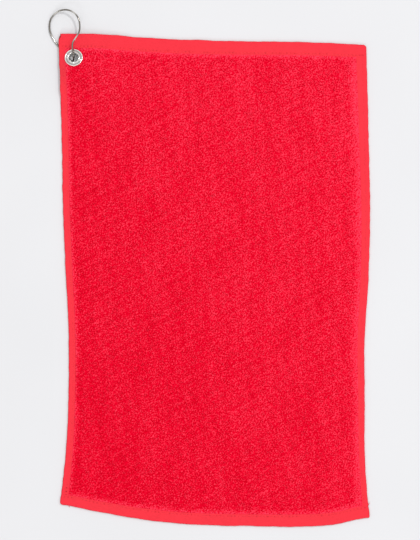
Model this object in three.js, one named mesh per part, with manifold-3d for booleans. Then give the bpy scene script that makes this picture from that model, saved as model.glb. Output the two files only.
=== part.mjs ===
// A golf towel: a terry cloth with a sewn hem along each edge, a two-piece grommet near its top
// left corner, and a sprung wire hook through the grommet.
// The towel lies face up, and its corner rides up over the part of the wire that runs under it.
// Millimetres. +X is to the right, +Y towards the top edge and +Z up. The origin is on the
// surface that the towel lies on, under the middle of the whole object.
import * as THREE from 'three';
import { mergeVertices } from 'three/addons/utils/BufferGeometryUtils.js';
import Module from 'manifold-3d';

const wasm = await Module();
wasm.setup();

// ---- Driving dimensions ----

const gap = 0.3; // kept between pieces that touch

// The four edges, each a smooth curve through values spaced evenly along it. The sides are
// waisted, the top edge slopes a little, and the bottom edge bows out.
const leftEdgeX = [-194.7, -187.5, -184.5, -184.7, -188.5, -191.8, -193.2, -195.2, -197.6]; // upwards
const rightEdgeX = [208.9, 204.2, 203.8, 203.8, 208.5, 210.8, 209.7, 207.9, 205.9]; // upwards
const bottomEdgeY = [-310.3, -319.9, -328.7, -334.6, -337.3, -338.4, -339, -337.1, -327]; // rightwards
const topEdgeY = [306.7, 306.7, 303, 300.1, 298.3, 297.3, 296.7, 295.2, 292.8]; // rightwards
const towelWidth = 400; // typical, to turn a width in millimetres into a share of the cloth
const towelLength = 620;

const pileThickness = 3; // the terry, with its loops on both faces
const hemThickness = 2.2; // three layers of flat weave
const topHemWidth = 18;
const bottomHemWidth = 16;
const leftHemWidth = 11;
const rightHemWidth = 11;
const threadWidth = 0.8;
const threadThickness = 0.5;
const endStitchMargin = 2.5; // from the top or bottom hem's inner edge to its row of stitches
const sideHemStitchInset = 5.8; // from a side edge to its row of stitches

const grommetX = -177.2;
const grommetY = 274.8;
const grommetLean = THREE.MathUtils.degToRad(15); // its face leans towards the top edge
const boreRadius = 6.25;
const barrelWall = 0.5;
const flangeRadius = 11.9;
const washerRadius = 11.5;
const pinchedCloth = 1.2; // thickness of the cloth between the flange and the washer

const wireRadius = 1.05;
const loopRadius = 20.2; // of the wire's centre line
const loopX = -12.2; // loop centre, from the grommet's centre
const loopY = 43;
const wireRestHeight = 1.1; // centre of the wire where it lies on the surface
const loopSlope = 0.21; // rise of the loop from its left side to its right side

// The corner's rise, along +Y from the grommet: the cloth leaves the surface, climbs to a crest
// below the grommet, falls through the grommet at its lean, and runs out level on the wire.
const riseOnWire = 2.6;
const leanSlope = Math.tan(grommetLean);
const climbSlope = 0.22;
const levelStart = 9;
const crestAt = -14;
const climbStart = ((leanSlope + climbSlope) * crestAt - leanSlope * levelStart - riseOnWire)
  / climbSlope;
const sideSlopeStart = -21; // along +X from the grommet, past the cloth's left edge
const sideSlopeEnd = -9;
const riseFadeStart = 14;
const riseFadeEnd = 95;

const red = new THREE.Color(0xf01836);
const lightRed = new THREE.Color(0xfb3a48);
const nickel = new THREE.Color(0xc9c6c2);

// ---- Cloth ----

function edgeCurve(values) {
  const last = values.length - 1;
  const curve = new THREE.SplineCurve(values.map((value, i) => new THREE.Vector2(i / last, value)));
  return (share) => curve.getPoint(share).y;
}

const leftEdge = edgeCurve(leftEdgeX);
const rightEdge = edgeCurve(rightEdgeX);
const bottomEdge = edgeCurve(bottomEdgeY);
const topEdge = edgeCurve(topEdgeY);

// 0 up to -halfWidth, the distance itself from halfWidth on, and a parabola between them.
function softRamp(distance, halfWidth) {
  if (distance <= -halfWidth) return 0;
  if (distance >= halfWidth) return distance;
  return (distance + halfWidth) ** 2 / (4 * halfWidth);
}

function cornerRise(x, y) {
  const towardsEdge = y - grommetY;
  const profile = riseOnWire
    + leanSlope * softRamp(levelStart - towardsEdge, 5)
    - (leanSlope + climbSlope) * softRamp(crestAt - towardsEdge, 12)
    + climbSlope * softRamp(climbStart - towardsEdge, 10);
  // The left edge lies no higher than the wire that runs out under it.
  const low = Math.min(profile, riseOnWire);
  const side = THREE.MathUtils.smoothstep(x - grommetX, sideSlopeStart, sideSlopeEnd);
  const fade = 1 - THREE.MathUtils.smoothstep(x - grommetX, riseFadeStart, riseFadeEnd);
  return Math.max(THREE.MathUtils.lerp(low, profile, side), 0) * fade;
}

// A point of the cloth: across goes 0 to 1 from left to right, along goes 0 to 1 from the bottom
// edge to the top edge, and height is above the cloth's underside.
function onCloth(across, along, height) {
  const x = THREE.MathUtils.lerp(leftEdge(along), rightEdge(along), across);
  const y = THREE.MathUtils.lerp(bottomEdge(across), topEdge(across), along);
  return new THREE.Vector3(x, y, height + cornerRise(x, y));
}

// Grid lines from start to end, at the fine pitch inside the stretch that the corner's rise takes.
function gridStops(start, end, fineStart, fineEnd, finePitch, coarsePitch) {
  const stops = [start];
  while (stops.at(-1) < end) {
    const last = stops.at(-1);
    const fine = last >= fineStart && last < fineEnd;
    const limit = last < fineStart ? Math.min(fineStart, end) : end;
    stops.push(Math.min(last + (fine ? finePitch : coarsePitch), limit));
  }
  return stops;
}

const acrossStops = (start, end) => gridStops(start, end, 0, 0.29, 0.02, 0.09);
const alongStops = (start, end) => gridStops(start, end, 0.83, 1, 0.0125, 0.07);

// A panel of the cloth over the given grid lines, from one height above the underside to another.
function clothPanel(across, along, bottom, top) {
  const columns = across.length - 1;
  const rows = along.length - 1;
  const geometry = new THREE.BoxGeometry(1, 1, 1, columns, rows, 1);
  const position = geometry.getAttribute('position');
  for (let i = 0; i < position.count; i += 1) {
    const column = Math.round((position.getX(i) + 0.5) * columns);
    const row = Math.round((position.getY(i) + 0.5) * rows);
    const point = onCloth(across[column], along[row], position.getZ(i) > 0 ? top : bottom);
    position.setXYZ(i, point.x, point.y, point.z);
  }
  return geometry;
}

// ---- Booleans ----

function solidFrom(geometry) {
  const bare = geometry.clone();
  bare.deleteAttribute('normal');
  bare.deleteAttribute('uv');
  const merged = mergeVertices(bare, 1e-4);
  return new wasm.Manifold(new wasm.Mesh({
    numProp: 3,
    vertProperties: merged.getAttribute('position').array,
    triVerts: Uint32Array.from(merged.getIndex().array),
  }));
}

function geometryFrom(solid) {
  const mesh = solid.getMesh();
  const geometry = new THREE.BufferGeometry();
  geometry.setAttribute('position', new THREE.BufferAttribute(mesh.vertProperties, 3));
  geometry.setIndex(new THREE.BufferAttribute(mesh.triVerts, 1));
  geometry.computeVertexNormals();
  return geometry;
}

// ---- Grommet ----

const grommet = new THREE.Group();
grommet.position.set(
  grommetX,
  grommetY,
  cornerRise(grommetX, grommetY) + pileThickness / 2,
);
grommet.rotation.x = -grommetLean;
grommet.updateMatrix();

// Turns a profile, drawn clockwise with the radius to the right, round the Z axis.
function turned(profile) {
  const geometry = new THREE.LatheGeometry(profile.getPoints(3).reverse(), 36);
  geometry.rotateX(Math.PI / 2);
  return geometry;
}

// A disc round the grommet's axis, in its own group's frame, between two heights.
function grommetDisc(radius, bottom, top) {
  const geometry = new THREE.CylinderGeometry(radius, radius, top - bottom, 40);
  geometry.rotateX(Math.PI / 2);
  geometry.translate(0, 0, (bottom + top) / 2);
  return geometry;
}

// Clears the bore through the cloth and presses the cloth thin under the flange and the washer.
function punched(geometry) {
  const reach = 12;
  const half = pinchedCloth / 2;
  const cutters = [
    grommetDisc(boreRadius + barrelWall + gap, -reach, reach),
    grommetDisc(flangeRadius + gap, half, reach),
    grommetDisc(washerRadius + gap, -reach, -half),
  ];
  let solid = solidFrom(geometry);
  for (const cutter of cutters) {
    solid = solid.subtract(solidFrom(cutter.applyMatrix4(grommet.matrix)));
  }
  return geometryFrom(solid);
}

// Radius and height along the grommet's axis: the bore, the raised lip round it, a groove, the
// rolled rim, the underside, and the barrel's foot curled out over the washer.
function eyeletGeometry() {
  const under = pinchedCloth / 2 + gap / 2;
  const barrel = boreRadius + barrelWall;
  const foot = -under - 0.6 - gap;
  const grooveHeight = under + 0.35;
  const profile = new THREE.Path();
  profile.moveTo(boreRadius, foot);
  profile.lineTo(boreRadius, 1.5);
  profile.absarc(boreRadius + 1.05, 1.5, 1.05, Math.PI, 0, true);
  profile.lineTo(8.6, grooveHeight);
  profile.lineTo(10, grooveHeight);
  profile.absarc(flangeRadius - 0.85, 1.2, 0.85, Math.PI, 0, true);
  profile.lineTo(flangeRadius, under);
  profile.lineTo(barrel, under);
  profile.lineTo(barrel, foot);
  profile.lineTo(8.1, foot);
  profile.absarc(8.1, foot - 0.3, 0.3, Math.PI / 2, -Math.PI / 2, true);
  profile.lineTo(boreRadius + 0.6, foot - 0.6);
  profile.lineTo(boreRadius, foot);
  return turned(profile);
}

function washerGeometry() {
  const top = -pinchedCloth / 2 - gap / 2;
  const inner = boreRadius + barrelWall + gap;
  const profile = new THREE.Path();
  profile.moveTo(inner, top);
  profile.lineTo(washerRadius, top);
  profile.lineTo(washerRadius, top - 0.45);
  profile.lineTo(washerRadius - 0.4, top - 0.8);
  profile.lineTo(washerRadius - 1.3, top - 0.6);
  profile.lineTo(inner, top - 0.6);
  profile.lineTo(inner, top);
  return turned(profile);
}

// ---- Wire hook ----

// The wire's centre line, from the grommet's centre on the surface: from its free end under the
// cloth out past the left edge, round the loop, back over the top edge, down through the bore and
// up to the other free end.
function wireCurve() {
  const points = [
    new THREE.Vector3(-15.2, 10, wireRestHeight),
    new THREE.Vector3(-21.9, 17.6, wireRestHeight),
    new THREE.Vector3(-26.7, 24, wireRestHeight),
    new THREE.Vector3(-30.2, 31, wireRestHeight),
    new THREE.Vector3(-32.1, 37.5, wireRestHeight),
  ];
  for (let degrees = 180; degrees >= 0; degrees -= 20) {
    const angle = THREE.MathUtils.degToRad(degrees);
    const x = loopX + loopRadius * Math.cos(angle);
    const height = wireRestHeight + loopSlope * (x - loopX + loopRadius);
    points.push(new THREE.Vector3(x, loopY + loopRadius * Math.sin(angle), height));
  }
  points.push(
    new THREE.Vector3(7.9, 36.5, 9.7),
    new THREE.Vector3(6, 30.8, 9.9),
    new THREE.Vector3(3, 26, 10.1),
    new THREE.Vector3(0, 21.8, 10.2),
    new THREE.Vector3(-1.3, 18, 10.3),
    new THREE.Vector3(-1.5, 12.5, 10.4),
    new THREE.Vector3(-0.7, 7.8, 10.2),
    new THREE.Vector3(-0.2, 3.8, 8.7),
    new THREE.Vector3(-0.2, 0.4, 6),
    new THREE.Vector3(-1, -2.6, 3.2),
    new THREE.Vector3(-4, -3.6, 1.6),
    new THREE.Vector3(-8.2, 0.8, wireRestHeight),
    new THREE.Vector3(-14.2, 8.5, wireRestHeight),
  );
  return new THREE.CatmullRomCurve3(points);
}

function wireGeometry() {
  const section = new THREE.Shape();
  section.absarc(0, 0, wireRadius, 0, Math.PI * 2, false);
  return new THREE.ExtrudeGeometry(section, {
    steps: 90,
    curveSegments: 5, // of each half of the round section
    extrudePath: wireCurve(),
  });
}

// ---- Assembly ----

function part(name, geometry, color, roughness, metalness) {
  const material = new THREE.MeshStandardMaterial({ color, roughness, metalness });
  const mesh = new THREE.Mesh(geometry, material);
  mesh.name = name;
  return mesh;
}

const terry = (name, geometry) => part(name, geometry, red, 0.95, 0);
const flatWeave = (name, geometry) => part(name, geometry, lightRed, 0.85, 0);
const metal = (name, geometry) => part(name, geometry, nickel, 0.25, 1);

const left = leftHemWidth / towelWidth;
const right = 1 - rightHemWidth / towelWidth;
const bottom = bottomHemWidth / towelLength;
const top = 1 - topHemWidth / towelLength;
const acrossGap = gap / towelWidth;
const alongGap = gap / towelLength;

const fieldAcross = acrossStops(left + acrossGap, right - acrossGap);
const sideAlong = alongStops(bottom + alongGap, top - alongGap);
const endAcross = acrossStops(0, 1);

// A thread lies on its hem: a narrow band of the cloth just above the hem's top face.
const threadBottom = hemThickness + gap;
const threadTop = threadBottom + threadThickness;
const threadEndInset = 0.012;

function endThread(along) {
  const half = threadWidth / towelLength / 2;
  const across = acrossStops(threadEndInset, 1 - threadEndInset);
  return clothPanel(across, [along - half, along + half], threadBottom, threadTop);
}

function sideThread(across) {
  const half = threadWidth / towelWidth / 2;
  const along = alongStops(bottom + threadEndInset, top - threadEndInset);
  return clothPanel([across - half, across + half], along, threadBottom, threadTop);
}

const towel = new THREE.Group();
towel.add(
  terry('terry_field', punched(clothPanel(fieldAcross, sideAlong, 0, pileThickness))),
  flatWeave('top_hem', clothPanel(endAcross, [top, 1], 0, hemThickness)),
  flatWeave('bottom_hem', clothPanel(endAcross, [0, bottom], 0, hemThickness)),
  flatWeave('left_hem', punched(clothPanel([0, left], sideAlong, 0, hemThickness))),
  flatWeave('right_hem', clothPanel([right, 1], sideAlong, 0, hemThickness)),
  flatWeave('top_hem_thread', endThread(1 - (topHemWidth - endStitchMargin) / towelLength)),
  flatWeave('bottom_hem_thread', endThread((bottomHemWidth - endStitchMargin) / towelLength)),
  flatWeave('left_hem_thread', sideThread(sideHemStitchInset / towelWidth)),
  flatWeave('right_hem_thread', sideThread(1 - sideHemStitchInset / towelWidth)),
);

grommet.add(
  metal('grommet_eyelet', eyeletGeometry()),
  metal('grommet_washer', washerGeometry()),
);
towel.add(grommet);

const hook = metal('wire_hook', wireGeometry());
hook.position.set(grommetX, grommetY, 0);
towel.add(hook);

export default towel;
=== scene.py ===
import math

import bpy
import numpy as np
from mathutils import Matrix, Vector


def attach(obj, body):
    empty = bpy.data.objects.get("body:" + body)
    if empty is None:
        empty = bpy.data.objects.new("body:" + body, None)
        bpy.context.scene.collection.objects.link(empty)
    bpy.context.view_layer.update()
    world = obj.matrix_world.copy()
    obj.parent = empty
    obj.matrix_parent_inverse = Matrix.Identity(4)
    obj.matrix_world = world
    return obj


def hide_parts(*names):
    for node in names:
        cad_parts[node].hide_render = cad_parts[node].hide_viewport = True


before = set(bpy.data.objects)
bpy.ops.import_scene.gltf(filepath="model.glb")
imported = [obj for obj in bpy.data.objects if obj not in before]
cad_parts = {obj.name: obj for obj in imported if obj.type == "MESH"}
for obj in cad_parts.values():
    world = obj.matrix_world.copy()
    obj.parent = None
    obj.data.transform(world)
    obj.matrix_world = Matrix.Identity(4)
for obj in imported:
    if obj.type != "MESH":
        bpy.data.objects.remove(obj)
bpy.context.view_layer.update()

# A golf towel laid face up: terry field, four sewn hems, grommet and wire hook.
# Metres, in the CAD frame: +X right, +Y to the top edge, +Z up from the surface it lies on.

MM = 0.001

# ---- The towel's shape, as the CAD source has it ----

LEFT_EDGE_X = [-194.7, -187.5, -184.5, -184.7, -188.5, -191.8, -193.2, -195.2, -197.6]  # upwards
RIGHT_EDGE_X = [208.9, 204.2, 203.8, 203.8, 208.5, 210.8, 209.7, 207.9, 205.9]  # upwards
BOTTOM_EDGE_Y = [-310.3, -319.9, -328.7, -334.6, -337.3, -338.4, -339, -337.1, -327]  # rightwards
TOP_EDGE_Y = [306.7, 306.7, 303, 300.1, 298.3, 297.3, 296.7, 295.2, 292.8]  # rightwards
TOWEL_WIDTH = 400
TOWEL_LENGTH = 620
PILE_THICKNESS = 3.0
HEM_THICKNESS = 2.2
END_STITCH_MARGIN = 2.5
SIDE_HEM_STITCH_INSET = 5.8

GROMMET_X = -177.2
GROMMET_Y = 274.8
GROMMET_LEAN = math.radians(15)
BORE_RADIUS = 6.25
BARREL_WALL = 0.5
FLANGE_RADIUS = 11.9
WASHER_RADIUS = 11.5
PINCHED_CLOTH = 1.2
WASHER_THICKNESS = 0.6
GAP = 0.3

WIRE_RADIUS = 1.05
LOOP_RADIUS = 20.2
LOOP_X = -12.2
LOOP_Y = 43
WIRE_REST_HEIGHT = 1.1
LOOP_SLOPE = 0.21

# The corner's rise, by distance up from the grommet: from the top edge down, the cloth lies on the
# wire, climbs with the grommet's lean to a crest and comes down to the table. The bends are the
# half lengths of its rounded changes of slope.
RISE_ON_WIRE = 2.6
LEAN_SLOPE = math.tan(GROMMET_LEAN)
CLIMB_SLOPE = 0.22
LEVEL_START = 9
CREST_AT = -14
CLIMB_START = (
    (LEAN_SLOPE + CLIMB_SLOPE) * CREST_AT - LEAN_SLOPE * LEVEL_START - RISE_ON_WIRE
) / CLIMB_SLOPE
LEVEL_BEND = 5
CREST_BEND = 12
FOOT_BEND = 10
# By distance to the right of the grommet: the slope at the left edge, and where the rise fades.
SIDE_SLOPE_START = -21
SIDE_SLOPE_END = -9
RISE_FADE_START = 14
RISE_FADE_END = 95


# ---- Mesh helpers ----


def mesh_object(name, vertices, *face_groups):
    """A smooth mesh. Each face group is an array with one row of vertex numbers for each face."""
    mesh = bpy.data.meshes.new(name)
    mesh.vertices.add(len(vertices))
    mesh.vertices.foreach_set("co", np.asarray(vertices, np.float32).ravel())
    corners = np.concatenate([np.asarray(g).ravel() for g in face_groups])
    sizes = np.concatenate([np.full(len(g), np.shape(g)[1]) for g in face_groups])
    starts = np.concatenate([[0], np.cumsum(sizes)[:-1]])
    mesh.loops.add(len(corners))
    mesh.loops.foreach_set("vertex_index", corners.astype(np.int32))
    mesh.polygons.add(len(sizes))
    mesh.polygons.foreach_set("loop_start", starts.astype(np.int32))
    mesh.update(calc_edges=True)
    mesh.validate()
    mesh.shade_smooth()
    piece = bpy.data.objects.new(name, mesh)
    bpy.context.scene.collection.objects.link(piece)
    return piece


def give_attribute(piece, name, values):
    """Keeps a number for each vertex, for the piece's material to read."""
    attribute = piece.data.attributes.new(name, "FLOAT", "POINT")
    attribute.data.foreach_set("value", np.asarray(values, np.float32).ravel())


def ring_faces(rings, around, first=0):
    """Quads between neighbouring rings of vertices, each ring closed on itself."""
    ring = np.arange(rings - 1)[:, None] * around + first
    here = np.arange(around)[None, :]
    after = (here + 1) % around
    quads = [ring + here, ring + after, ring + around + after, ring + around + here]
    return np.stack(quads, axis=-1).reshape(-1, 4)


def tubes(name, lines, radii, sides):
    """Round tubes with closed ends along lines, an array of tubes by points by 3, in metres."""
    lines = np.asarray(lines, float)
    count, points = lines.shape[:2]
    tangents = np.gradient(lines, axis=1)
    tangents /= np.linalg.norm(tangents, axis=2, keepdims=True)
    normal = np.cross(tangents[:, 0], [0.0, 0.0, 1.0])
    turn = np.linspace(0, 2 * np.pi, sides, endpoint=False)
    vertices = np.zeros((count, points, sides, 3))
    for i in range(points):
        tangent = tangents[:, i]
        normal = normal - (normal * tangent).sum(1, keepdims=True) * tangent
        normal /= np.linalg.norm(normal, axis=1, keepdims=True)
        other = np.cross(tangent, normal)
        ring = normal[:, None] * np.cos(turn)[:, None] + other[:, None] * np.sin(turn)[:, None]
        vertices[:, i] = lines[:, i, None] + radii[i] * ring
    quads = np.concatenate([ring_faces(points, sides, k * points * sides) for k in range(count)])
    offsets = np.arange(count)[:, None] * points * sides
    start_caps = offsets + np.arange(sides)[::-1]
    end_caps = offsets + (points - 1) * sides + np.arange(sides)
    return mesh_object(name, vertices.reshape(-1, 3), quads, start_caps, end_caps)


def waves(x, y, seed, count, shortest, longest):
    """A smooth random height between about -1 and 1, from sines in random directions."""
    chance = np.random.default_rng(seed)
    total = np.zeros(np.broadcast(x, y).shape)
    for _ in range(count):
        length = chance.uniform(shortest, longest)
        angle = chance.uniform(0, np.pi)
        phase = chance.uniform(0, 2 * np.pi)
        along = x * math.cos(angle) + y * math.sin(angle)
        total += np.sin(2 * np.pi * along / length + phase)
    return total / math.sqrt(count)


def smooth_step(value, start, end):
    """0 up to start, 1 from end on, and a smooth change between."""
    share = np.clip((value - start) / (end - start), 0, 1)
    return share * share * (3 - 2 * share)


# ---- How the cloth lies. Millimetres, turned into metres where a mesh is made ----


def edge_curve(values):
    """A smooth curve through values spaced evenly from 0 to 1."""
    values = np.array(values, float)
    last = len(values) - 1

    def at(share):
        place = np.clip(share, 0, 1) * last
        i = np.minimum(place.astype(int), last - 1)
        t = place - i
        before, here = values[np.maximum(i - 1, 0)], values[i]
        there, after = values[i + 1], values[np.minimum(i + 2, last)]
        leaving, arriving = (there - before) / 2, (after - here) / 2
        cubic = (2 * here - 2 * there + leaving + arriving) * t**3
        square = (-3 * here + 3 * there - 2 * leaving - arriving) * t**2
        return cubic + square + leaving * t + here

    return at


left_edge = edge_curve(LEFT_EDGE_X)
right_edge = edge_curve(RIGHT_EDGE_X)
bottom_edge = edge_curve(BOTTOM_EDGE_Y)
top_edge = edge_curve(TOP_EDGE_Y)


def soft_ramp(distance, half_width):
    """0 up to -half_width, the distance itself from half_width on, and a parabola between."""
    bent = (distance + half_width) ** 2 / (4 * half_width)
    return np.where(distance <= -half_width, 0, np.where(distance >= half_width, distance, bent))


def corner_rise(x, y):
    """How high the cloth's underside is over the wire and the grommet."""
    toward_edge = y - GROMMET_Y
    profile = (
        RISE_ON_WIRE
        + LEAN_SLOPE * soft_ramp(LEVEL_START - toward_edge, LEVEL_BEND)
        - (LEAN_SLOPE + CLIMB_SLOPE) * soft_ramp(CREST_AT - toward_edge, CREST_BEND)
        + CLIMB_SLOPE * soft_ramp(CLIMB_START - toward_edge, FOOT_BEND)
    )
    # The left edge lies no higher than the wire that runs out under it.
    low = np.minimum(profile, RISE_ON_WIRE)
    side = smooth_step(x - GROMMET_X, SIDE_SLOPE_START, SIDE_SLOPE_END)
    fade = 1 - smooth_step(x - GROMMET_X, RISE_FADE_START, RISE_FADE_END)
    return np.maximum(low + (profile - low) * side, 0) * fade


RIPPLE_HEIGHT = 0.6
# By distance from the grommet.
RIPPLE_START = 45
RIPPLE_FULL = 140
# The share that is left at the towel's edges, and how far in from them it is whole again.
RIPPLE_AT_EDGE = 0.12
RIPPLE_EDGE_FADE = 60


def ripple(x, y, across, along):
    """The low, long waves that a laid towel keeps, away from its edges and its raised corner."""
    away = smooth_step(np.hypot(x - GROMMET_X, y - GROMMET_Y), RIPPLE_START, RIPPLE_FULL)
    from_side = np.minimum(across, 1 - across) * TOWEL_WIDTH
    from_end = np.minimum(along, 1 - along) * TOWEL_LENGTH
    inside = smooth_step(np.minimum(from_side, from_end), 0, RIPPLE_EDGE_FADE)
    height = RIPPLE_HEIGHT * (1 + waves(x, y, seed=11, count=7, shortest=90, longest=260))
    return np.maximum(height, 0) * away * (RIPPLE_AT_EDGE + (1 - RIPPLE_AT_EDGE) * inside)


def on_cloth(across, along):
    """The cloth's x, y and underside height at shares across, left to right, and along, up."""
    across, along = np.broadcast_arrays(across, along)
    x = left_edge(along) * (1 - across) + right_edge(along) * across
    y = bottom_edge(across) * (1 - along) + top_edge(across) * along
    return x, y, corner_rise(x, y) + ripple(x, y, across, along)


GROMMET_Z = float(corner_rise(np.array(GROMMET_X), np.array(GROMMET_Y))) + PILE_THICKNESS / 2


def pinch(x, y, z, face):
    """Presses a face of the cloth in under the flange (face 1) or the washer (face -1)."""
    dy, dz = y - GROMMET_Y, z - GROMMET_Z
    cos, sin = math.cos(GROMMET_LEAN), math.sin(GROMMET_LEAN)
    radius = np.hypot(x - GROMMET_X, dy * cos - dz * sin)
    rim = FLANGE_RADIUS if face > 0 else WASHER_RADIUS
    plane = GROMMET_Z + (face * PINCHED_CLOTH / 2 - dy * sin) / cos
    pressed = 1 - smooth_step(radius, rim + 0.2, rim + 2.2)
    held = np.minimum(z, plane) if face > 0 else np.maximum(z, plane)
    return z + (held - z) * pressed


# ---- Terry field ----

# Each hem's width in millimetres at its two ends: left and right, or bottom and top. The loops
# grow over the hems unevenly. The CAD source has one width for each hem, within 4 mm of these.
HEM_WIDTHS = {"top": (19, 16.6), "bottom": (13.8, 16.2), "left": (9.2, 8.6), "right": (7.4, 13.4)}
# How far out from each hem the loops are pressed flat.
FLATTENED = {"top": 6, "bottom": 8, "left": 6, "right": 14}

LOOP_SPACING = 3.1
POINTS_PER_LOOP = 3
TUFT_HEIGHT = 1.4
# As shares of the tuft height: the mean, how uneven neighbours are, and the wider swells.
MEAN_TUFT = 0.55
UNEVENNESS = 0.34
SWELL = 0.08
LOOP_LEAN = 0.16
ROW_WANDER = 0.5
CLOTH_HOLE_RADIUS = 8.6


def cloth_size(side):
    """The towel's size across a hem on that side."""
    return TOWEL_LENGTH if side in ("top", "bottom") else TOWEL_WIDTH


def hem_width(side, run):
    """A hem's width at shares run along it."""
    first, last = HEM_WIDTHS[side]
    return first + (last - first) * run


def hem_share(side, run):
    """A hem's width as a share of the towel."""
    return hem_width(side, run) / cloth_size(side)


def smoothed(field, times):
    """A grid of numbers, each averaged with its neighbours that many times."""
    for _ in range(times):
        for axis in (0, 1):
            field = (np.roll(field, 1, axis) + 2 * field + np.roll(field, -1, axis)) / 4
    return field


def tangle(shape, chance):
    """Uneven ridges and hollows over a grid, about 0 and with a spread of 1."""
    field = chance.normal(size=shape)
    field = field - 0.8 * smoothed(field, 2)
    return field / field.std()


def terry_face(u, v, face, seed):
    """One face of the terry at shares u across and v along it: its points in metres, each
    point's height in the pile, from 0 to 1, and how far it is pressed flat beside a hem."""
    u, v = np.meshgrid(u, v)
    left, right = hem_share("left", v), 1 - hem_share("right", v)
    bottom, top = hem_share("bottom", u), 1 - hem_share("top", u)
    across = left + (right - left) * u
    along = bottom + (top - bottom) * v
    insets = {
        "left": (across - left) * TOWEL_WIDTH,
        "right": (right - across) * TOWEL_WIDTH,
        "bottom": (along - bottom) * TOWEL_LENGTH,
        "top": (top - along) * TOWEL_LENGTH,
    }
    pressed = [1 - smooth_step(insets[side], 0, FLATTENED[side]) for side in insets]
    flatness = np.max(pressed, 0)
    inset = np.min(list(insets.values()), 0)
    chance = np.random.default_rng(seed)
    x, y, under = on_cloth(across, along)
    height = MEAN_TUFT + UNEVENNESS * tangle(u.shape, chance)
    height += SWELL * waves(x, y, seed=seed + 10, count=12, shortest=5, longest=20)
    # Pressed loops differ a little less in height.
    height = np.clip(height * (1 - 0.15 * flatness) + 0.08 * flatness, 0, 1)
    base = PILE_THICKNESS - TUFT_HEIGHT
    tuft = TUFT_HEIGHT * height
    z = under + (base + tuft if face > 0 else TUFT_HEIGHT - tuft)
    # The loops lean and their rows wander, except at the very edge, which joins the hem.
    inside = smooth_step(inset, 0.2, 3)
    wander = ROW_WANDER * waves(x, y, seed=seed + 20, count=9, shortest=8, longest=20)
    x = x + inside * (LOOP_LEAN * tangle(u.shape, chance) + wander)
    wander = ROW_WANDER * waves(x, y, seed=seed + 30, count=9, shortest=8, longest=20)
    y = y + inside * (LOOP_LEAN * tangle(u.shape, chance) + wander)
    z = pinch(x, y, z, face)
    return np.stack([x, y, z], axis=-1).reshape(-1, 3) * MM, height.ravel(), flatness.ravel()


def grid_cells(rows, columns):
    """The vertex numbers of a grid's cells, counter-clockwise from above."""
    number = np.arange(rows * columns).reshape(rows, columns)
    return np.stack([number[:-1, :-1], number[:-1, 1:], number[1:, 1:], number[1:, :-1]], axis=-1)


def open_edges(cells, count):
    """The edges that only one of the cells uses, in that cell's own direction."""
    edges = np.concatenate([cells[:, [k, (k + 1) % 4]] for k in range(4)])
    keys = np.sort(edges, axis=1) @ [count, 1]
    _, which, uses = np.unique(keys, return_inverse=True, return_counts=True)
    return edges[uses[which] == 1]


def terry_field():
    """The terry, closed all round. Its face has several points across each loop, its back one."""
    loops_across = round((TOWEL_WIDTH - sum(HEM_WIDTHS["left"])) / LOOP_SPACING)
    loops_along = round((TOWEL_LENGTH - sum(HEM_WIDTHS["top"])) / LOOP_SPACING)
    finer = POINTS_PER_LOOP
    across = np.linspace(0, 1, finer * loops_across + 1)
    along = np.linspace(0, 1, finer * loops_along + 1)
    face, face_height, face_flatness = terry_face(across, along, 1, 21)
    back, back_height, back_flatness = terry_face(across[::finer], along[::finer], -1, 22)
    # The cells round the bore are left out, and the back's numbers follow the face's.
    back_cells = grid_cells(loops_along + 1, loops_across + 1)
    middle = back[back_cells].mean(axis=2)
    bore = np.array([GROMMET_X, GROMMET_Y]) * MM
    kept = np.hypot(middle[..., 0] - bore[0], middle[..., 1] - bore[1]) > CLOTH_HOLE_RADIUS * MM
    face_kept = kept.repeat(finer, axis=0).repeat(finer, axis=1)
    face_cells = grid_cells(len(along), len(across))[face_kept]
    back_cells = back_cells[kept]
    # A wall joins each open edge of the back to the finer open edges of the face above it.
    rim = open_edges(back_cells, len(back))
    row, column = np.divmod(rim, loops_across + 1)
    above = finer * (row * len(across) + column)
    steps = np.arange(finer, -1, -1)
    over = above[:, :1] + (above[:, 1:] - above[:, :1]) // finer * steps
    walls = np.concatenate([over, rim + len(face)], axis=1)
    groups = [face_cells, back_cells[:, ::-1] + len(face), walls]
    used = np.unique(np.concatenate([group.ravel() for group in groups]))
    groups = [np.searchsorted(used, group) for group in groups]
    piece = mesh_object("terry_cloth", np.concatenate([face, back])[used], *groups)
    give_attribute(piece, "pile", np.concatenate([face_height, back_height])[used])
    give_attribute(piece, "flatness", np.concatenate([face_flatness, back_flatness])[used])
    return piece


# ---- Hems and their stitches ----

STITCH_PITCH = 4.7
STATIONS_PER_STITCH = 6
EDGE_ROUNDING = 1.1
POINT_SPACING = 1.6
OVERLAP = 0.2
THINNEST_HALF = 0.1
PUCKER = 0.13
FINE_PUCKER = 0.08
# The outer edge wanders, and this far in from it the weave lies straight again.
EDGE_WANDER = 0.25
WANDER_FADE = 4
# The faces sink along each row of stitches, and more at each needle hole.
ROW_DIP = 0.22
ROW_DIP_WIDTH = 1.3
HOLE_DEPTH = 0.4
NEEDLE_HOLE = 0.95
UNDERSIDE_DIP = 0.6
# How hard the thread pulls at its needle holes: the least and the most, by hem.
HOLE_PULL = {"top": (0.2, 1.0), "bottom": (0.2, 1.0), "left": (0.1, 0.4), "right": (0.1, 0.45)}
# The hem whose first stitches were pulled tight, how many, and how hard.
TIGHT_HEM = "left"
TIGHT_STITCHES = 2
TIGHT_PULL = 1.6
STITCH_POINTS = 8
STITCH_SPAN = 0.8  # of the pitch; the rest of the thread is down in the needle holes
STITCH_UNEVENNESS = 0.08
THREAD_END_RADIUS = 0.13
THREAD_SIDES = 6
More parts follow.
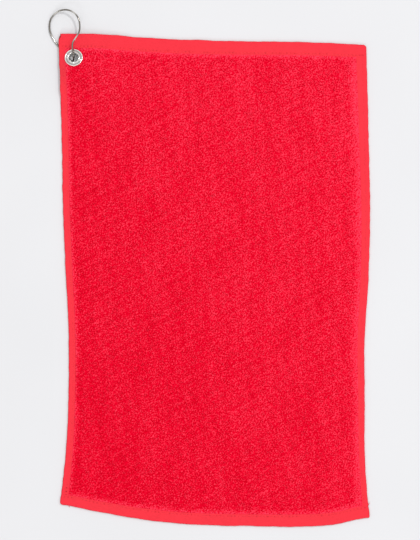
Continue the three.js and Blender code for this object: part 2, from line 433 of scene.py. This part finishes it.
# The thread's loose ends: where each one leaves the cloth and where it stops, in millimetres.
LOOSE_ENDS = {
    "bottom": [
        ((205.5, -308.9, 1.9), (209.4, -309.4, 1.4)),
        ((205.5, -309.5, 1.5), (209.6, -309.9, 1.1)),
        ((205.5, -310.2, 1.9), (209.5, -310.3, 1.3)),
        ((205.5, -310.8, 1.6), (209, -311, 1.0)),
        ((205.5, -311.3, 1.3), (208.6, -311.9, 0.8)),
        ((205.5, -309.8, 1.2), (210.6, -307.6, 0.5)),
        ((-184.3, -310.6, 1.2), (-183.5, -313.8, 0.5)),
    ]
}


def end_trim(inset, corner):
    """How far a hem's end stands in from the cloth's side, in millimetres, at a place that far
    in from the hem's outer edge. Each corner was sewn a little differently."""
    if corner == "top_left":
        return 2.7 * (1 - smooth_step(inset, 3.5, 8))
    if corner == "top_right":
        return 2.8 * (1 - smooth_step(inset, 0, 3.5)) ** 2
    if corner == "bottom_right":
        return 1.2 * (1 - smooth_step(inset, 0, 1.2)) ** 2 - 1.3 * (1 - smooth_step(inset, 6, 18))
    return 2.2 * (1 - smooth_step(inset, 0, 3)) ** 2 - 1.1 * (1 - smooth_step(inset, 8, 16))


def on_hem(side, inset, run):
    """x, y and underside at shares run along a hem and millimetres inset from its outer edge."""
    if side in ("top", "bottom"):
        along = 1 - inset / TOWEL_LENGTH if side == "top" else inset / TOWEL_LENGTH
        first = end_trim(inset, side + "_left") / TOWEL_WIDTH
        last = 1 - end_trim(inset, side + "_right") / TOWEL_WIDTH
        return on_cloth(first + run * (last - first), along)
    across = inset / TOWEL_WIDTH if side == "left" else 1 - inset / TOWEL_WIDTH
    end = 0 if side == "left" else 1
    overlap = OVERLAP / TOWEL_LENGTH
    first = hem_share("bottom", end) - overlap
    last = 1 - hem_share("top", end) + overlap
    return on_cloth(across, first + run * (last - first))


def hem_plan(side):
    """A hem's length, mean width and number of stitches, and the inset of its row of stitches."""
    width = sum(HEM_WIDTHS[side]) / 2
    if side in ("top", "bottom"):
        return TOWEL_WIDTH, width, round(TOWEL_WIDTH / STITCH_PITCH), width - END_STITCH_MARGIN
    length = TOWEL_LENGTH - HEM_WIDTHS["top"][0] - HEM_WIDTHS["bottom"][0]
    return length, width, round(length / STITCH_PITCH), SIDE_HEM_STITCH_INSET


def local_inset(side, inset, run):
    """The inset at a place where the hem is wider or narrower than its mean width. An end hem's
    row of stitches keeps its distance from the inner edge, a side hem's from the outer edge."""
    _, width, _, stitch_inset = hem_plan(side)
    start, end = (1.5, width - 5) if side in ("top", "bottom") else (stitch_inset + 1.2, width)
    return inset + (hem_width(side, run) - width) * np.clip((inset - start) / (end - start), 0, 1)


def hem_stations(side):
    """Shares along a hem where its rings of points go, closer at its two ends."""
    length, _, stitches, _ = hem_plan(side)
    even = np.linspace(0, 1, stitches * STATIONS_PER_STITCH + 1)
    ends = np.array([0.12, 0.4]) / length
    return np.unique(np.concatenate([even, ends, 1 - ends]))[:, None]


def hem_insets(side):
    """Insets of the points across a hem of mean width, closer at its fold and its stitches."""
    _, width, _, stitch_inset = hem_plan(side)
    rounding = EDGE_ROUNDING * (1 - np.cos(np.linspace(0, np.pi / 2, 4)))
    beside_stitch = stitch_inset + POINT_SPACING * np.array([-1, -0.5, 0, 0.5, 1])
    plain = np.arange(2.2, width - 1, POINT_SPACING)
    plain = plain[np.abs(plain - stitch_inset) > 2]
    last = width + OVERLAP
    insets = np.unique(np.concatenate([rounding, plain, beside_stitch, [last - 0.4, last]]))
    return insets[None, insets <= last]


def edge_fold(side, inset, run):
    """1 at a hem's outer edge and cut ends, and 0 where the rounding stops."""
    to_edge = inset
    if side in ("top", "bottom"):
        to_edge = np.minimum(to_edge, np.minimum(run, 1 - run) * hem_plan(side)[0])
    return np.clip(1 - to_edge / EDGE_ROUNDING, 0, 1)


def needle_holes(side, from_row, run):
    """How hard the thread draws the hem in round its needle holes, at distances from the row."""
    stitches = hem_plan(side)[2]
    from_hole = np.abs((run * stitches + 0.5) % 1 - 0.5) * STITCH_PITCH
    nearest = np.rint(run * stitches).astype(int)
    pull = np.random.default_rng(35).uniform(*HOLE_PULL[side], stitches + 1)[nearest]
    if side == TIGHT_HEM:
        pull = np.where(nearest <= TIGHT_STITCHES, TIGHT_PULL, pull)
    return pull * np.exp(-(from_hole**2 + from_row**2) / NEEDLE_HOLE**2)


def both_faces(over, beneath):
    """Rings of points across a hem's upper face and back under its lower one."""
    return np.concatenate([over, beneath[:, :0:-1]], axis=1)


def hem_band(side):
    """A folded hem as one closed band, rounded at its outer edge and puckered by its stitches."""
    run = hem_stations(side)
    even_inset = hem_insets(side)
    inset = local_inset(side, even_inset, run)
    from_row = even_inset - hem_plan(side)[3]
    x, y, under = on_hem(side, inset, run)
    fold = edge_fold(side, inset, run)
    half = HEM_THICKNESS / 2 * np.sqrt(1 - fold**2)
    hole = needle_holes(side, from_row, run)
    dip = ROW_DIP * np.exp(-((from_row / ROW_DIP_WIDTH) ** 2)) + HOLE_DEPTH * hole
    pucker = PUCKER * waves(x, y, seed=31, count=9, shortest=5, longest=16)
    pucker += FINE_PUCKER * waves(x, y, seed=33, count=9, shortest=2.6, longest=5)
    wander = EDGE_WANDER * waves(x, y, seed=32, count=8, shortest=9, longest=50)
    wander *= np.clip(1 - inset / WANDER_FADE, 0, 1)
    if side in ("top", "bottom"):
        y = y + wander
    else:
        x = x + wander
    middle = under + HEM_THICKNESS / 2
    upper = middle + np.maximum(half - dip, THINNEST_HALF) + pucker * (1 - fold)
    lower = middle - np.maximum(half - UNDERSIDE_DIP * dip, THINNEST_HALF)
    over = np.stack([x, y, pinch(x, y, upper, 1)], axis=-1)
    beneath = np.stack([x, y, pinch(x, y, lower, -1)], axis=-1)
    rings = both_faces(over, beneath) * MM
    stations, around = rings.shape[:2]
    quads = ring_faces(stations, around)
    start_cap = np.arange(around)[None, ::-1]
    end_cap = ((stations - 1) * around + np.arange(around))[None, :]
    groups = [quads, start_cap, end_cap]
    if side in ("bottom", "right"):
        groups = [group[:, ::-1] for group in groups]
    piece = mesh_object(side + "_hem_band", rings.reshape(-1, 3), *groups)
    give_attribute(piece, "stitch_shade", both_faces(hole, hole))
    give_attribute(piece, "fold_shade", both_faces(fold, fold))
    return piece


def hem_stitches(side):
    """The lockstitches of one hem, on both faces, each a short arched thread."""
    _, _, stitches, stitch_inset = hem_plan(side)
    first = np.arange(1, stitches - 1)[:, None]
    share = np.linspace(0, 1, STITCH_POINTS)
    run = (first + (1 - STITCH_SPAN) / 2 + STITCH_SPAN * share) / stitches
    off_row = np.random.default_rng(41).normal(0, STITCH_UNEVENNESS, (len(first), 1))
    inset = local_inset(side, stitch_inset + off_row, run)
    x, y, under = on_hem(side, inset, run)
    arch = np.sin(np.pi * share) ** 0.6
    over = pinch(x, y, under + HEM_THICKNESS - 0.62 + 0.45 * arch, 1)
    beneath = pinch(x, y, under + 0.5 - 0.3 * arch, -1)
    lines = [np.stack([x, y, z], axis=-1) for z in (over, beneath)]
    for start, end in LOOSE_ENDS.get(side, ()):
        along = share[:, None]
        curl = 0.3 * np.sin(3 * np.pi * along) * [1, -1, 0]
        lines.append([(1 - along) * start + along * end + curl])
    radii = THREAD_END_RADIUS * (1 + arch)
    return tubes(side + "_hem_stitches", np.concatenate(lines) * MM, radii * MM, THREAD_SIDES)


# ---- Grommet and hook ----

TURN_STEPS = 96


def arc(centre_x, centre_y, radius, start, end, count=9):
    """Points along an arc, between two angles in degrees."""
    angle = np.radians(np.linspace(start, end, count))
    return [(centre_x + radius * math.cos(a), centre_y + radius * math.sin(a)) for a in angle]


def turned(name, profile, groove=(0, 0)):
    """Turns a clockwise profile of radius and height round the grommet's leaning axis. The
    attribute "groove" is 1 between the groove's two radii, on the upper side."""
    turn = np.linspace(0, 2 * np.pi, TURN_STEPS, endpoint=False)
    radius, height = np.array(profile).T
    x = radius[:, None] * np.cos(turn)
    y = radius[:, None] * np.sin(turn)
    z = height[:, None] + 0 * turn
    cos, sin = math.cos(GROMMET_LEAN), math.sin(GROMMET_LEAN)
    leaning_y = y * cos + z * sin + GROMMET_Y
    leaning_z = z * cos - y * sin + GROMMET_Z
    placed = np.stack([x + GROMMET_X, leaning_y, leaning_z], axis=-1)
    rings = len(profile)
    quads = ring_faces(rings, TURN_STEPS)
    last = np.arange(TURN_STEPS)
    after = (last + 1) % TURN_STEPS
    base = (rings - 1) * TURN_STEPS
    closing = np.stack([base + last, base + after, after, last], axis=-1)
    piece = mesh_object(name, placed.reshape(-1, 3) * MM, quads[:, ::-1], closing[:, ::-1])
    grooved = (radius > groove[0]) & (radius < groove[1]) & (height > 0)
    give_attribute(piece, "groove", grooved.repeat(TURN_STEPS))
    return piece


def eyelet():
    """The flange with its groove and rolled rim, the barrel, and the foot under the washer."""
    under = PINCHED_CLOTH / 2 + GAP / 2
    barrel = BORE_RADIUS + BARREL_WALL
    foot = -under - WASHER_THICKNESS - GAP
    profile = [(BORE_RADIUS, foot)]
    profile += arc(BORE_RADIUS + 1.05, 1.5, 1.05, 180, 12)
    profile += arc(8.75, 1.5, 0.4, 195, 270, 4)
    profile += arc(9.75, 1.4, 0.3, 270, 345, 4)
    profile += arc(FLANGE_RADIUS - 0.85, 1.2, 0.85, 165, 0)
    profile += arc(FLANGE_RADIUS - 0.2, under + 0.2, 0.2, 0, -90, 4)
    profile += [(barrel + 0.3, under), (barrel, under - 0.2), (barrel, foot + 0.1)]
    profile += arc(8.1, foot - 0.3, 0.3, 90, -90, 6)
    profile += [(BORE_RADIUS + 0.6, foot - 0.6), (BORE_RADIUS + 0.2, foot - 0.35)]
    return turned("eyelet_plated", profile, groove=(8.6, 10.2))


def washer():
    """The ring behind the cloth, with a rounded outer edge."""
    top = -PINCHED_CLOTH / 2 - GAP / 2
    inner = BORE_RADIUS + BARREL_WALL + GAP
    profile = [(inner, top), (WASHER_RADIUS - 0.2, top), (WASHER_RADIUS, top - 0.2)]
    profile += arc(WASHER_RADIUS - 0.35, top - 0.45, 0.35, 0, -100, 5)
    bottom = top - WASHER_THICKNESS
    profile += [(WASHER_RADIUS - 1.3, bottom), (inner, bottom)]
    return turned("washer_plated", profile)


def smooth_path(points, count):
    """A centripetal Catmull-Rom curve through points, as count points evenly spaced along it."""
    points = np.array(points, float)
    before, after = 2 * points[0] - points[1], 2 * points[-1] - points[-2]
    steps = np.diff(np.concatenate([[before], points, [after]]), axis=0)
    knots = np.linalg.norm(steps, axis=1, keepdims=True) ** 0.5
    slopes = steps / knots
    across_two = (steps[:-1] + steps[1:]) / (knots[:-1] + knots[1:])
    slope_at = slopes[:-1] - across_two + slopes[1:]
    leaving, arriving = slope_at[:-1] * knots[1:-1], slope_at[1:] * knots[1:-1]
    change = steps[1:-1]
    share = np.linspace(0, 1, 24, endpoint=False)[:, None, None]
    square = 3 * change - 2 * leaving - arriving
    cubic = leaving + arriving - 2 * change
    curve = points[:-1] + share * leaving + share**2 * square + share**3 * cubic
    dense = np.concatenate([curve.transpose(1, 0, 2).reshape(-1, 3), points[-1:]])
    length = np.concatenate([[0], np.cumsum(np.linalg.norm(np.diff(dense, axis=0), axis=1))])
    even = np.linspace(0, length[-1], count)
    return np.stack([np.interp(even, length, dense[:, k]) for k in range(3)], axis=1)


# The wire's middle line as the CAD source has it, from the bore's middle, on the table at z 0.
REAR_LEG = [(-15.2, 10, 1.1), (-21.9, 17.6, 1.1), (-26.7, 24, 1.1), (-30.2, 31, 1.1), (-32.1, 37.5, 1.1)]
FRONT_LEG = [(7.9, 36.5, 9.7), (6, 30.8, 9.9), (3, 26, 10.1), (0, 21.8, 10.2), (-1.3, 18, 10.3)]
THROUGH_BORE = [(-1.5, 12.5, 10.4), (-0.7, 7.8, 10.2), (-0.2, 3.8, 8.7), (-0.2, 0.4, 6), (-1, -2.6, 3.2)]
UNDER_BORE = [(-4, -3.6, 1.6), (-8.2, 0.8, 1.1), (-14.2, 8.5, 1.1)]
WIRE_SIDES = 16
WIRE_POINTS = 300
CUT_END = 0.72  # a cut end's radius as a share of the wire's
# The wire gets painted highlights, standing in for reflections of the lamps, in four stretches centred
# at these angles in degrees round the loop.
HIGHLIGHT_ANGLES = np.array([-49, 52, 126, 232])
HIGHLIGHT_STRETCH = 12


def wire_hook():
    """The hook from its hidden end beside the bore, round the loop and back through the bore."""
    loop = []
    for degrees in range(180, -1, -20):
        x = LOOP_X + LOOP_RADIUS * math.cos(math.radians(degrees))
        y = LOOP_Y + LOOP_RADIUS * math.sin(math.radians(degrees))
        loop.append((x, y, WIRE_REST_HEIGHT + LOOP_SLOPE * (x - LOOP_X + LOOP_RADIUS)))
    points = smooth_path(REAR_LEG + loop + FRONT_LEG + THROUGH_BORE + UNDER_BORE, WIRE_POINTS)
    # Where the painted highlights lie, by angle round the loop.
    angle = np.degrees(np.arctan2(points[:, 1] - LOOP_Y, points[:, 0] - LOOP_X))
    from_highlight = (angle[:, None] - HIGHLIGHT_ANGLES + 180) % 360 - 180
    painted_highlight = np.exp(-((from_highlight / HIGHLIGHT_STRETCH) ** 2)).max(axis=1)
    points += [GROMMET_X, GROMMET_Y, 0]
    radii = np.full(len(points), WIRE_RADIUS)
    radii[[0, -1]] *= CUT_END
    piece = tubes("hook_wire", points[None] * MM, radii * MM, WIRE_SIDES)
    give_attribute(piece, "painted_highlight", painted_highlight.repeat(WIRE_SIDES))
    return piece


# ---- Materials ----


class Finish:
    """One material: its Principled shader, and a short call for each kind of node it needs."""

    def __init__(self, name, **sockets):
        self.material = bpy.data.materials.new(name)
        self.material.use_nodes = True
        self.tree = self.material.node_tree
        self.shader = self.tree.nodes["Principled BSDF"]
        self.place = self.add("ShaderNodeTexCoord").outputs["Object"]
        self.paint(**sockets)

    def feed(self, socket, value):
        """Links a node's output to a socket, or sets the socket to a constant."""
        if isinstance(value, bpy.types.NodeSocket):
            self.tree.links.new(value, socket)
        else:
            socket.default_value = value

    def add(self, kind, inputs=None, **settings):
        """A new node with those inputs, by name or number, and those settings."""
        node = self.tree.nodes.new(kind)
        for setting, value in settings.items():
            setattr(node, setting, value)
        for socket, value in (inputs or {}).items():
            self.feed(node.inputs[socket], value)
        return node

    def attribute(self, name):
        """A number kept for each vertex by give_attribute."""
        return self.add("ShaderNodeAttribute", attribute_name=name).outputs["Fac"]

    def distance_along(self, direction):
        """How far a place lies along a direction of length 1 from the middle, in metres."""
        node = self.add("ShaderNodeVectorMath", {0: self.place, 1: direction}, operation="DOT_PRODUCT")
        return node.outputs["Value"]

    def noise(self, size, detail=2.0, stretch=(1, 1, 1)):
        """Noise from 0 to 1 with lumps of that size in millimetres."""
        place = self.add("ShaderNodeMapping", {"Vector": self.place, "Scale": stretch})
        inputs = {"Vector": place.outputs["Vector"], "Scale": 1 / (size * MM), "Detail": detail}
        return self.add("ShaderNodeTexNoise", inputs).outputs["Fac"]

    def bands(self, pitch, direction, distortion=0.0):
        """Sine bands from 0 to 1, one for each pitch in millimetres, across direction X or Y."""
        # At scale 1 the wave texture has 20 / (2 pi) bands in a metre.
        scale = math.pi / 10 / (pitch * MM)
        inputs = {"Vector": self.place, "Scale": scale, "Distortion": distortion, "Detail": 1.0}
        wave = self.add("ShaderNodeTexWave", inputs, bands_direction=direction)
        return wave.outputs["Fac"]

    def math(self, operation, first, second=0.0):
        """Two numbers put through one arithmetic operation."""
        node = self.add("ShaderNodeMath", {0: first, 1: second}, operation=operation)
        return node.outputs["Value"]

    def spread(self, value, low, high, start=0.0, end=1.0):
        """Maps a value from start..end to low..high, and holds it there."""
        inputs = {"Value": value, "From Min": start, "From Max": end, "To Min": low, "To Max": high}
        return self.add("ShaderNodeMapRange", inputs, clamp=True).outputs["Result"]

    def ramp(self, value, stops):
        """Smoothly runs through the colours of stops, pairs of a value and a colour."""
        node = self.add("ShaderNodeValToRGB", {"Fac": value})
        levels = node.color_ramp.elements
        for level, (place, shade) in zip((levels[0], levels[1]), (stops[0], stops[-1])):
            level.position, level.color = place, shade
        for place, shade in stops[1:-1]:
            levels.new(place).color = shade
        return node.outputs["Color"]

    def mix(self, share, first, second):
        """The first colour where share is 0, and the second where it is 1."""
        node = self.add("ShaderNodeMix", {0: share, 6: first, 7: second}, data_type="RGBA")
        return node.outputs[2]

    def shaded(self, colour, strength):
        """A colour multiplied by a number."""
        node = self.add("ShaderNodeVectorMath", {0: colour, "Scale": strength}, operation="SCALE")
        return node.outputs["Vector"]

    def bump(self, height, depth, under=None):
        """A bump as deep as depth, in millimetres, on top of another one."""
        inputs = {"Height": height, "Distance": depth * MM}
        if under:
            inputs["Normal"] = under
        return self.add("ShaderNodeBump", inputs).outputs["Normal"]

    def paint(self, **sockets):
        """Feeds sockets of the shader, named with underscores, and gives back the material."""
        for socket, value in sockets.items():
            self.feed(self.shader.inputs[socket.replace("_", " ")], value)
        return self.material


def colour(*levels):
    """A screen colour, red, green and blue from 0 to 255, as the linear colour of a shader."""
    shares = [level / 255 for level in levels]
    linear = [c / 12.92 if c < 0.04045 else ((c + 0.055) / 1.055) ** 2.4 for c in shares]
    return (*linear, 1.0)


def terry_material():
    """Cotton loops, with painted shade deep in the pile and painted highlights at their tips."""
    finish = Finish("terry_cloth", Specular_IOR_Level=0.02, Sheen_Weight=0.01, Sheen_Roughness=0.6)
    # The loops are painted a little lighter up and to the right.
    toward_upper_right = finish.spread(finish.distance_along((0.8, 0.6, 0)), -0.08, 0.08, -0.3, 0.3)
    patches = finish.spread(finish.noise(30, 5.0, (1, 0.4, 1)), -0.05, 0.05, 0.35, 0.65)
    # Pressed beside a hem, the loops are painted lighter, towards the painted highlight of their tips.
    pressed = finish.spread(finish.attribute("flatness"), 0.0, 0.28)
    level = finish.math("ADD", finish.attribute("pile"), finish.math("ADD", toward_upper_right, patches))
    level = finish.math("ADD", level, pressed)
    # Painted shade in the valleys and painted highlights on the loop tips, by height in the pile.
    valley_shade, side, tip_highlight = colour(196, 0, 22), colour(223, 0, 39), colour(247, 60, 85)
    cloth = finish.ramp(level, [(0.05, valley_shade), (0.53, side), (1.0, tip_highlight)])
    yarn = finish.spread(finish.noise(1.1, 1.0), 0.95, 1.03, 0.3, 0.7)
    fibres = finish.bump(finish.noise(0.35, 2.0), 0.16)
    twist = finish.bump(finish.noise(0.8, 1.0), 0.25, fibres)
    roughness = finish.spread(finish.noise(0.6), 0.82, 1.0, 0.3, 0.7)
    return finish.paint(Base_Color=finish.shaded(cloth, yarn), Roughness=roughness, Normal=twist)


def hem_material():
    """A plain weave in fine yarn, with painted shade in the needle holes."""
    finish = Finish("hem_weave", Specular_IOR_Level=0.25, Sheen_Weight=0.06, Sheen_Roughness=0.5)
    warp = finish.bands(0.85, "X", 0.6)
    weft = finish.bands(0.95, "Y", 0.6)
    weave = finish.math("MULTIPLY", warp, weft)
    cloth = finish.mix(weave, colour(228, 36, 53), colour(246, 64, 77))
    # Painted shade in the needle holes, where the thread pulls the hem in.
    pull = finish.spread(finish.attribute("stitch_shade"), 0.0, 0.85, 0.08, 1.2)
    cloth = finish.mix(pull, cloth, colour(168, 2, 24))
    # Painted shade on the folded edge, where its rounding turns away from the light.
    fold_edge_shade = finish.spread(finish.attribute("fold_shade"), 0.0, 0.5)
    cloth = finish.mix(fold_edge_shade, cloth, colour(176, 14, 32))
    patches = finish.spread(finish.noise(14, 3.0), 0.97, 1.02, 0.3, 0.7)
    slubs = finish.spread(finish.noise(1.4, 2.0, (0.35, 1, 1)), 0.96, 1.03, 0.3, 0.7)
    shade = finish.math("MULTIPLY", patches, slubs)
    relief = finish.bump(weave, 0.14)
    fuzz = finish.bump(finish.noise(0.4, 2.0), 0.08, relief)
    roughness = finish.spread(weave, 0.95, 0.75)
    return finish.paint(Base_Color=finish.shaded(cloth, shade), Roughness=roughness, Normal=fuzz)


def thread_material():
    """Twisted sewing thread."""
    finish = Finish("sewing_thread", Specular_IOR_Level=0.4, Sheen_Weight=0.1, Sheen_Roughness=0.4)
    plies = finish.bands(0.22, "DIAGONAL", 0.4)
    thread = finish.mix(plies, colour(205, 22, 42), colour(250, 52, 66))
    thread = finish.shaded(thread, finish.spread(finish.noise(4), 0.9, 1.06, 0.3, 0.7))
    relief = finish.bump(plies, 0.05)
    roughness = finish.spread(finish.noise(0.5), 0.5, 0.75, 0.3, 0.7)
    return finish.paint(Base_Color=thread, Roughness=roughness, Normal=relief)


def nickel_material(name, bright, dull, roughness_low, roughness_high):
    """Worn nickel: bright, but dull where it is tarnished, and lightest where a painted highlight stands
    in for a reflection.
    """
    finish = Finish(name, Metallic=1.0)
    smears = finish.noise(5, 3.0)
    spots = finish.spread(finish.noise(2.5, 4.0), 0.0, 0.5, 0.4, 0.75)
    tarnish = finish.math("MAXIMUM", spots, finish.attribute("groove"))
    metal = finish.mix(tarnish, bright, dull)
    # Painted highlights, standing in for reflections of the lamps.
    highlight_colour = colour(208, 205, 199)
    metal = finish.mix(finish.attribute("painted_highlight"), metal, highlight_colour)
    scratches = finish.noise(0.7, 3.0, (1, 0.12, 1))
    wear = finish.math("MULTIPLY", scratches, smears)
    roughness = finish.spread(wear, roughness_low, roughness_high, 0.12, 0.42)
    relief = finish.bump(scratches, 0.003)
    waviness = finish.bump(finish.noise(3, 1.0), 0.02, relief)
    return finish.paint(Base_Color=metal, Roughness=roughness, Normal=waviness)


def floor_material():
    """A matt, nearly even pale grey."""
    finish = Finish("pale_floor", Specular_IOR_Level=0.2, Roughness=0.8)
    tone = finish.spread(finish.noise(180, 1.0), 0.0, 1.0, 0.3, 0.7)
    return finish.paint(Base_Color=finish.mix(tone, colour(213, 213, 215), colour(215, 215, 217)))


# ---- Camera, lights and floor ----

CAMERA_HEIGHT = 1.9
VIEW_HEIGHT = 707.4 * MM
VIEW_X = 0.9 * MM
VIEW_Y = -2.5 * MM
SENSOR = 36
FLOOR_HALF = 8.0
FLOOR_GAP = 0.2 * MM


def aim(thing, target):
    """Turns a lamp to face a place."""
    thing.rotation_euler = (Vector(target) - thing.location).to_track_quat("-Z", "Y").to_euler()


def add_camera():
    """Looks straight down on the middle of the towel, hook included, with +Y up."""
    camera = bpy.data.objects.new("camera", bpy.data.cameras.new("camera"))
    bpy.context.scene.collection.objects.link(camera)
    camera.location = (VIEW_X, VIEW_Y, CAMERA_HEIGHT)
    camera.data.sensor_width = SENSOR
    camera.data.lens = SENSOR * (CAMERA_HEIGHT - PILE_THICKNESS * MM) / VIEW_HEIGHT
    bpy.context.scene.camera = camera


def add_light(name, place, size, watts):
    """A round lamp as wide as size, aimed at the towel's middle."""
    lamp = bpy.data.lights.new(name, "AREA")
    lamp.shape = "DISK"
    lamp.size = size
    lamp.energy = watts
    light = bpy.data.objects.new(name, lamp)
    bpy.context.scene.collection.objects.link(light)
    light.location = place
    aim(light, (0, 0, 0))


def add_surroundings():
    """A pale room, lightest straight above."""
    world = bpy.data.worlds.new("studio")
    bpy.context.scene.world = world
    world.use_nodes = True
    tree = world.node_tree
    direction = tree.nodes.new("ShaderNodeTexCoord").outputs["Generated"]
    split = tree.nodes.new("ShaderNodeSeparateXYZ")
    ramp = tree.nodes.new("ShaderNodeValToRGB")
    tree.links.new(direction, split.inputs["Vector"])
    tree.links.new(split.outputs["Z"], ramp.inputs["Fac"])
    tree.links.new(ramp.outputs["Color"], tree.nodes["Background"].inputs["Color"])
    levels = ramp.color_ramp.elements
    levels[0].position, levels[0].color = 0.0, (0.6, 0.6, 0.62, 1)
    levels[1].position, levels[1].color = 1.0, (1.1, 1.1, 1.1, 1)
    levels.new(0.5).color = (0.85, 0.85, 0.85, 1)
    tree.nodes["Background"].inputs["Strength"].default_value = 1.0


def add_floor():
    """A wide floor just under the towel."""
    corners = [(-1, -1, 0), (1, -1, 0), (1, 1, 0), (-1, 1, 0)]
    floor = mesh_object("floor", FLOOR_HALF * np.array(corners), np.array([[0, 1, 2, 3]]))
    floor.location.z = -FLOOR_GAP
    floor.data.materials.append(floor_material())


# ---- The scene ----

add_camera()
add_surroundings()
add_light("key_light", (2.9, 3.4, 5.1), 0.7, 152)
add_light("side_light", (3.6, -2.5, 4.4), 0.9, 22)
add_light("fill_light", (-0.6, -5.2, 3.2), 1.5, 50)
add_floor()
bpy.context.scene.view_settings.view_transform = "Standard"

cloth = terry_field()
cloth.data.materials.append(terry_material())
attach(cloth, "towel")
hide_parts("terry_field")

hem_finish = hem_material()
thread_finish = thread_material()
sewn = []
for side in HEM_WIDTHS:
    band = hem_band(side)
    band.data.materials.append(hem_finish)
    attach(band, "towel")
    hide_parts(side + "_hem")
    stitches = hem_stitches(side)
    stitches.data.materials.append(thread_finish)
    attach(stitches, "towel")
    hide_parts(side + "_hem_thread")
    sewn += [band, stitches]

plate_finish = nickel_material("nickel_plate", colour(238, 237, 232), colour(168, 163, 162), 0.12, 0.3)
for piece, node in ((eyelet(), "grommet_eyelet"), (washer(), "grommet_washer")):
    piece.data.set_sharp_from_angle(angle=math.radians(50))
    piece.data.materials.append(plate_finish)
    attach(piece, "towel")
    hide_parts(node)

hook = wire_hook()
wire_finish = nickel_material("nickel_wire", colour(128, 123, 116), colour(66, 62, 58), 0.16, 0.32)
hook.data.materials.append(wire_finish)
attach(hook, "hook")
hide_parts("wire_hook")
